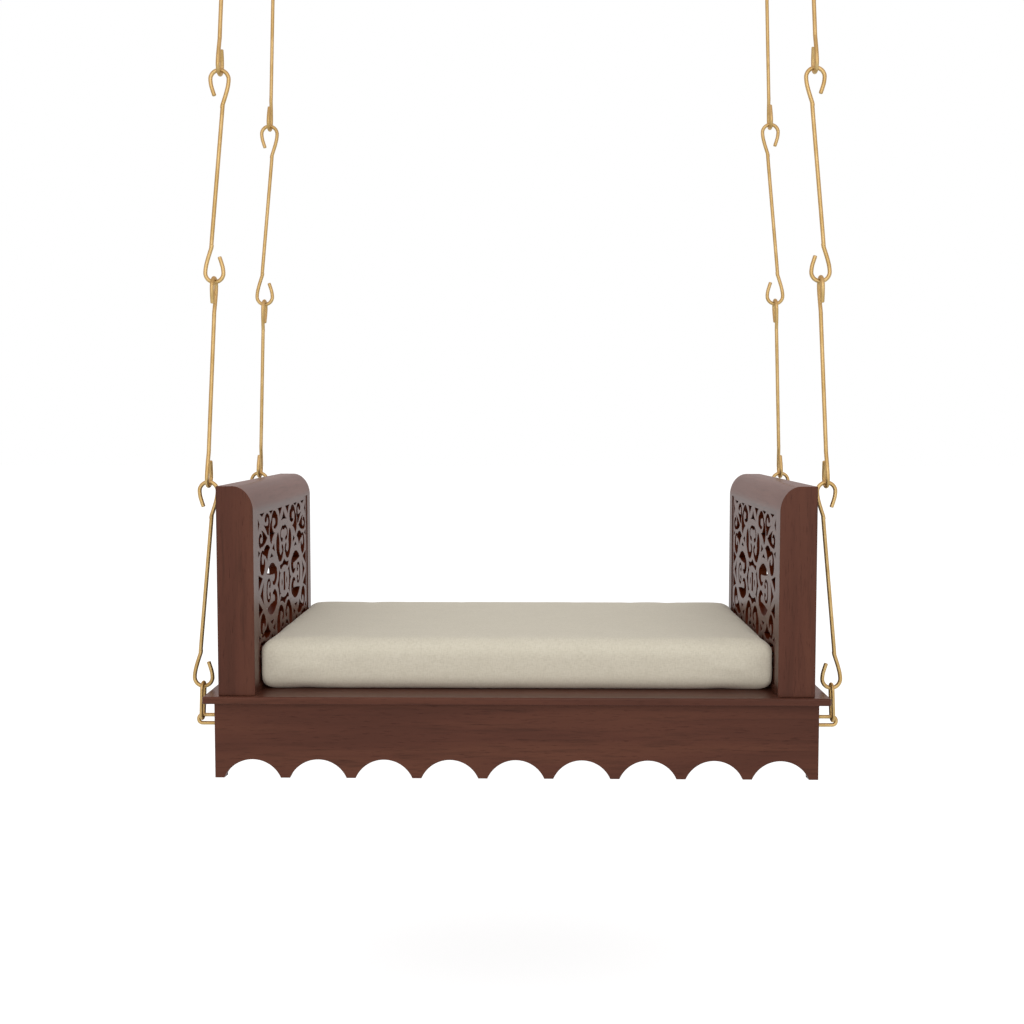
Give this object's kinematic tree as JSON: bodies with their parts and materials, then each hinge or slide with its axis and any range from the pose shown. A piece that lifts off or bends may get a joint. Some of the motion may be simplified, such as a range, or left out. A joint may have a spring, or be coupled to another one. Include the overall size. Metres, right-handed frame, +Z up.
{
  "type": "jhoola swing",
  "caption": "Carved wooden bench swing with pierced jali arms and a linen box cushion, hung from the ceiling by chains of hooked brass rods",
  "frame": {"origin": "middle of the seat's footprint, level with the aprons' feet", "axes": "+X to the right of someone who faces the seat, along its length; +Y from its front to its back; +Z up, along the chains"},
  "size_m": [1.1412, 0.61, 1.5907],
  "materials": {
    "wood": "satin",
    "hidden_wood": "matte",
    "brass": "polished",
    "linen": "matte",
    "plate": "satin"
  },
  "bodies": {
    "ceiling": {"ceiling_plates": "plate", "ceiling_eyes": "plate"},
    "chain_front_left": {"front_left_ring": "brass", "front_left_rod_1": "brass", "front_left_rod_2": "brass", "front_left_rod_3": "brass", "front_left_rod_4": "brass"},
    "chain_front_right": {"front_right_ring": "brass", "front_right_rod_1": "brass", "front_right_rod_2": "brass", "front_right_rod_3": "brass", "front_right_rod_4": "brass"},
    "chain_back_left": {"back_left_ring": "brass", "back_left_rod_1": "brass", "back_left_rod_2": "brass", "back_left_rod_3": "brass", "back_left_rod_4": "brass"},
    "chain_back_right": {"back_right_ring": "brass", "back_right_rod_1": "brass", "back_right_rod_2": "brass", "back_right_rod_3": "brass", "back_right_rod_4": "brass"},
    "seat": {"seat_board": "wood", "front_apron": "wood", "back_apron": "wood", "left_apron": "wood", "right_apron": "wood", "corner_blocks": "hidden_wood", "cross_battens": "hidden_wood", "left_arm_front_post": "wood", "left_arm_back_post": "wood", "left_arm_top_rail": "wood", "left_arm_bottom_rail": "wood", "left_jali_panel": "wood", "right_arm_front_post": "wood", "right_arm_back_post": "wood", "right_arm_top_rail": "wood", "right_arm_bottom_rail": "wood", "right_jali_panel": "wood", "staples": "brass", "staple_nuts": "brass"},
    "cushion": {"seat_cushion": "linen"}
  },
  "joints": [
    {"name": "swing", "type": "hinge", "parent": "ceiling", "child": "chain_front_left", "pos_m": [-0.4935, -0.219, 1.55471], "axis": [1, 0, 0], "range_deg": [-25, 25]},
    {"name": "swing_front_right", "type": "hinge", "parent": "ceiling", "child": "chain_front_right", "pos_m": [0.4935, -0.219, 1.55471], "axis": [1, 0, 0], "range_deg": [-25, 25]},
    {"name": "swing_back_left", "type": "hinge", "parent": "ceiling", "child": "chain_back_left", "pos_m": [-0.4935, 0.219, 1.55471], "axis": [1, 0, 0], "range_deg": [-25, 25]},
    {"name": "swing_back_right", "type": "hinge", "parent": "ceiling", "child": "chain_back_right", "pos_m": [0.4935, 0.219, 1.55471], "axis": [1, 0, 0], "range_deg": [-25, 25]},
    {"name": "seat_level", "type": "hinge", "parent": "chain_front_left", "child": "seat", "pos_m": [-0.55395, -0.219, 0.0945], "axis": [1, 0, 0], "range_deg": [-25, 25]},
    {"name": "cushion_lift", "type": "slide", "parent": "seat", "child": "cushion", "axis": [0, 0, 1], "range_m": [0, 0.4]}
  ],
  "couplings": [
    {"joint": "swing_front_right", "follows": "swing", "ratio": 1},
    {"joint": "swing_back_left", "follows": "swing", "ratio": 1},
    {"joint": "swing_back_right", "follows": "swing", "ratio": 1},
    {"joint": "seat_level", "follows": "swing", "ratio": -1}
  ]
}
